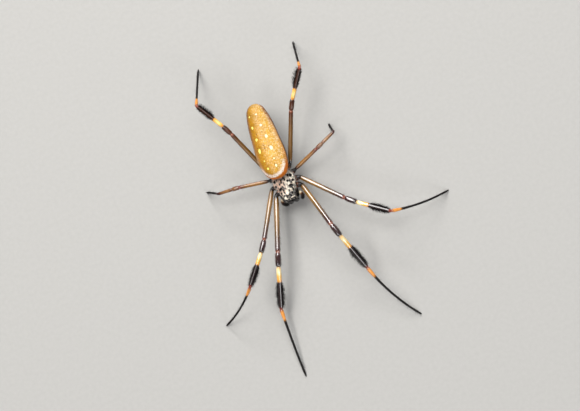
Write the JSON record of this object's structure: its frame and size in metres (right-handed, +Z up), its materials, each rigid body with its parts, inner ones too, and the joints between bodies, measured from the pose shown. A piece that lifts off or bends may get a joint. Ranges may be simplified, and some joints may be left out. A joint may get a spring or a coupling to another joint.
{
  "type": "golden silk orb weaver spider",
  "caption": "Life-size still model of a grown female golden orb weaver spider, standing with its legs spread, long golden abdomen with paired pale spots.",
  "frame": {"origin": "middle of the animal's box in plan, on the floor under its feet", "axes": "+Z up from the floor, the head points along -Y and the tail along +Y, +X is the animal's own left"},
  "size_m": [0.0728, 0.0906, 0.0139],
  "materials": {
    "carapace": "short silver hair over dark horn",
    "sternum": "satin",
    "abdomen": "satin, smooth soft skin",
    "pedicel": "satin",
    "spinnerets": "satin",
    "chelicerae": "glossy horn",
    "palps": "glossy horn with black bristles",
    "eyes": "mirror-smooth",
    "coxae": "satin, mottled",
    "femurs": "glossy horn",
    "patellas": "glossy horn",
    "tibias": "glossy horn under black brushes",
    "feet": "satin horn"
  },
  "bodies": {
    "root": {"abdomen": "abdomen", "carapace": "carapace", "chelicera_left": "chelicerae", "chelicera_right": "chelicerae", "eye_front_middle_left": "eyes", "eye_front_middle_right": "eyes", "eye_front_side_left": "eyes", "eye_front_side_right": "eyes", "eye_rear_middle_left": "eyes", "eye_rear_middle_right": "eyes", "eye_rear_side_left": "eyes", "eye_rear_side_right": "eyes", "leg1_left_coxa": "coxae", "leg1_left_femur": "femurs", "leg1_left_foot": "feet", "leg1_left_patella": "patellas", "leg1_left_tibia": "tibias", "leg1_right_coxa": "coxae", "leg1_right_femur": "femurs", "leg1_right_foot": "feet", "leg1_right_patella": "patellas", "leg1_right_tibia": "tibias", "leg2_left_coxa": "coxae", "leg2_left_femur": "femurs", "leg2_left_foot": "feet", "leg2_left_patella": "patellas", "leg2_left_tibia": "tibias", "leg2_right_coxa": "coxae", "leg2_right_femur": "femurs", "leg2_right_foot": "feet", "leg2_right_patella": "patellas", "leg2_right_tibia": "tibias", "leg3_left_coxa": "coxae", "leg3_left_femur": "femurs", "leg3_left_foot": "feet", "leg3_left_patella": "patellas", "leg3_left_tibia": "tibias", "leg3_right_coxa": "coxae", "leg3_right_femur": "femurs", "leg3_right_foot": "feet", "leg3_right_patella": "patellas", "leg3_right_tibia": "tibias", "leg4_left_coxa": "coxae", "leg4_left_femur": "femurs", "leg4_left_foot": "feet", "leg4_left_patella": "patellas", "leg4_left_tibia": "tibias", "leg4_right_coxa": "coxae", "leg4_right_femur": "femurs", "leg4_right_foot": "feet", "leg4_right_patella": "patellas", "leg4_right_tibia": "tibias", "palp_left": "palps", "palp_right": "palps", "pedicel": "pedicel", "spinnerets": "spinnerets", "sternum": "sternum"}
  },
  "joints": []
}
